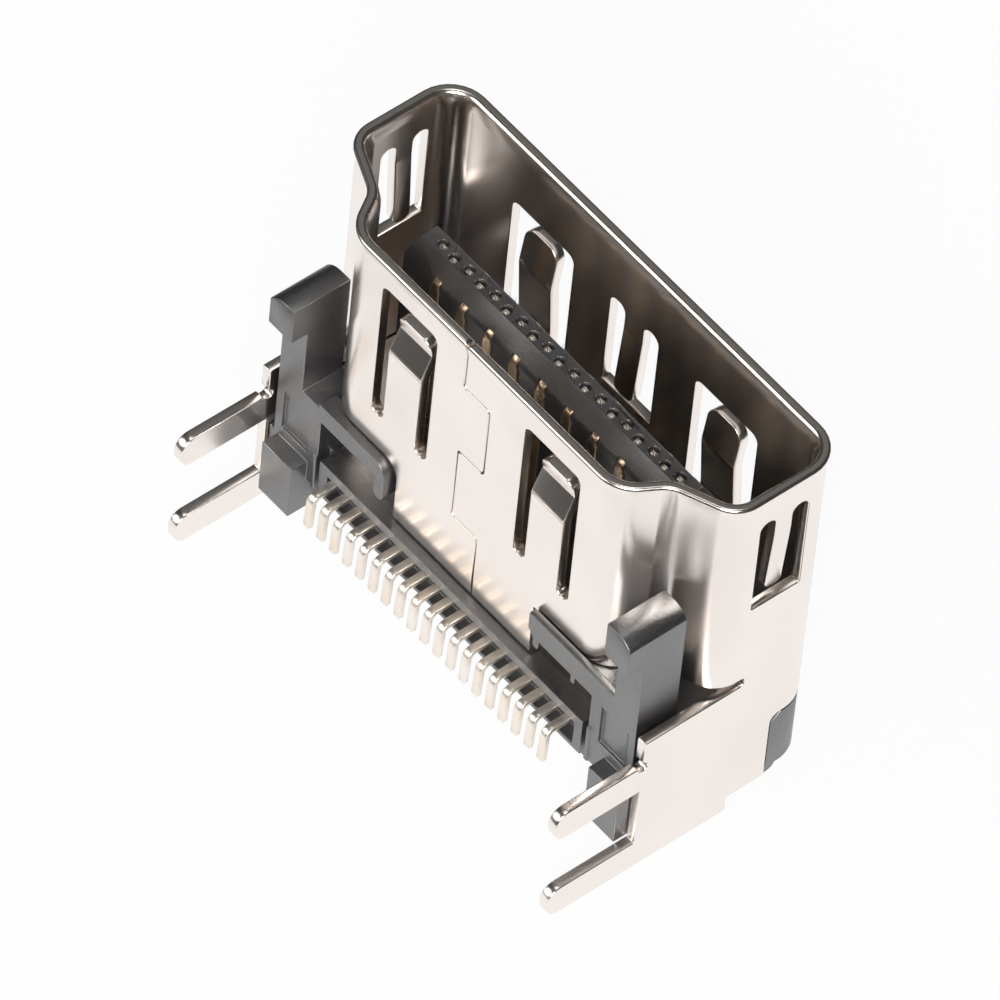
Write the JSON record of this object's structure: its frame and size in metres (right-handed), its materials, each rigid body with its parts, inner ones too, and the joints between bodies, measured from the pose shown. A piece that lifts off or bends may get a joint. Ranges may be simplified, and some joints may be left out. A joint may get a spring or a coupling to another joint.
{
  "type": "board-mount video socket",
  "caption": "Right-angle board socket: a D-shaped folded metal shell with grip springs and board legs round a black moulding, whose tongue carries a row of bent, gold-plated contacts.",
  "frame": {"origin": "on the rear face that it stands on, under the middle of the mouth", "axes": "+Z is the way the mouth faces, X runs along the row of contacts, -Y faces the circuit board"},
  "size_m": [0.0148, 0.0084, 0.012],
  "materials": {
    "nickel": "bright nickel plate on punched and folded sheet",
    "moulding": "satin black moulded plastic",
    "contact": "thin gold plate on stamped copper alloy"
  },
  "bodies": {
    "root": {"shell": "nickel", "housing": "moulding", "contact_01": "contact", "contact_02": "contact", "contact_03": "contact", "contact_04": "contact", "contact_05": "contact", "contact_06": "contact", "contact_07": "contact", "contact_08": "contact", "contact_09": "contact", "contact_10": "contact", "contact_11": "contact", "contact_12": "contact", "contact_13": "contact", "contact_14": "contact", "contact_15": "contact", "contact_16": "contact", "contact_17": "contact", "contact_18": "contact", "contact_19": "contact"}
  },
  "joints": []
}
